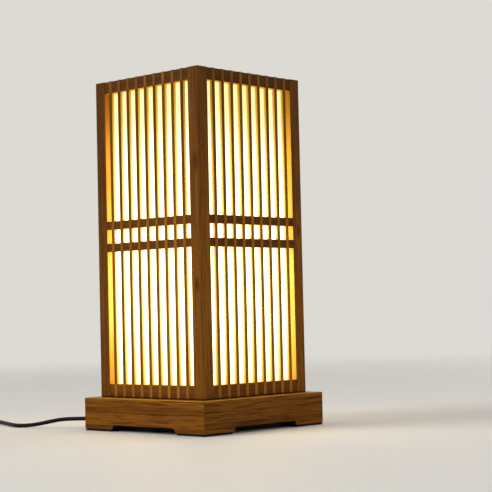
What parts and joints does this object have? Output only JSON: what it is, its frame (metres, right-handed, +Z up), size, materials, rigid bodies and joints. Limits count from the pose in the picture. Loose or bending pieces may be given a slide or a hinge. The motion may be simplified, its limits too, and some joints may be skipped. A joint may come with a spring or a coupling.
{
  "type": "table lamp",
  "caption": "Square bamboo lantern lamp: slatted frame with pale diffuser sheets on a mitred box plinth, screw-in bulb, mains lead with rocker switch and plug.",
  "frame": {"origin": "middle of the plinth's footprint, on the surface that the pads stand on", "axes": "+Z up; -Y out of the front face; +X out of the right face; the cord leaves the left face, -X"},
  "size_m": [0.4414, 0.3355, 0.4132],
  "materials": {
    "bamboo": "satin-lacquered carbonised bamboo, grain along each strip",
    "base_bamboo": "satin-lacquered laminated bamboo with level strips and nodes",
    "softwood": "sawn, unfinished",
    "hardboard": "stained black, matt",
    "diffuser": "matt translucent sheet, lit warm from inside",
    "felt": "pressed felt",
    "steel": "zinc plated",
    "brass": "plain, slightly dulled",
    "bakelite": "moulded, half gloss",
    "opal": "opal white, lit warm",
    "nickel": "nickel plated",
    "cord_black": "smooth flexible sheath",
    "switch_black": "fine moulded texture"
  },
  "bodies": {
    "lamp": {"base_board_front": "base_bamboo", "base_board_right": "base_bamboo", "base_board_rear": "base_bamboo", "base_board_left": "base_bamboo", "base_top_panel": "base_bamboo", "base_cover": "hardboard", "glue_block_front_right": "softwood", "glue_block_rear_right": "softwood", "glue_block_rear_left": "softwood", "glue_block_front_left": "softwood", "foot_pad_front_right": "felt", "foot_pad_rear_right": "felt", "foot_pad_rear_left": "felt", "foot_pad_front_left": "felt", "tie_screw_front_right": "steel", "tie_screw_rear_right": "steel", "tie_screw_rear_left": "steel", "tie_screw_front_left": "steel", "post_front_right": "bamboo", "post_rear_right": "bamboo", "post_rear_left": "bamboo", "post_front_left": "bamboo", "front_lattice": "bamboo", "front_top_rail": "bamboo", "front_bottom_rail": "bamboo", "front_diffuser": "diffuser", "right_lattice": "bamboo", "right_top_rail": "bamboo", "right_bottom_rail": "bamboo", "right_diffuser": "diffuser", "rear_lattice": "bamboo", "rear_top_rail": "bamboo", "rear_bottom_rail": "bamboo", "rear_diffuser": "diffuser", "left_lattice": "bamboo", "left_top_rail": "bamboo", "left_bottom_rail": "bamboo", "left_diffuser": "diffuser", "holder_body": "bakelite", "holder_shell": "brass", "holder_contact": "brass", "holder_screw_left": "steel", "holder_screw_right": "steel", "cord_gland": "switch_black", "lead_in_base": "cord_black", "lead_to_switch": "cord_black", "lead_to_coil": "cord_black", "lead_to_plug": "cord_black", "cord_coil": "cord_black", "cord_tie": "cord_black", "switch_lower_shell": "switch_black", "switch_upper_shell": "switch_black", "plug_body": "switch_black", "plug_blade_near": "brass", "plug_blade_far": "brass"},
    "switch_rocker": {"switch_rocker": "switch_black"},
    "bulb_rise": {"bulb_contact": "bakelite"},
    "bulb": {"bulb_cap": "nickel", "bulb_globe": "opal"}
  },
  "joints": [
    {"name": "rocker_tip", "type": "hinge", "parent": "lamp", "child": "switch_rocker", "pos_m": [-0.3294, -0.149, 0.0115], "axis": [1, 0, 0], "range_deg": [-16, 0]},
    {"name": "bulb_lift", "type": "slide", "parent": "lamp", "child": "bulb_rise", "axis": [0, 0, 1], "range_m": [0, 0.0127]},
    {"name": "bulb_turn", "type": "hinge", "parent": "bulb_rise", "child": "bulb", "pos_m": [0, 0, 0.07], "axis": [0, 0, 1], "range_deg": [0, 1260]}
  ],
  "couplings": [
    {"joint": "bulb_lift", "follows": "bulb_turn", "m_per_rad": 0.00057614}
  ]
}
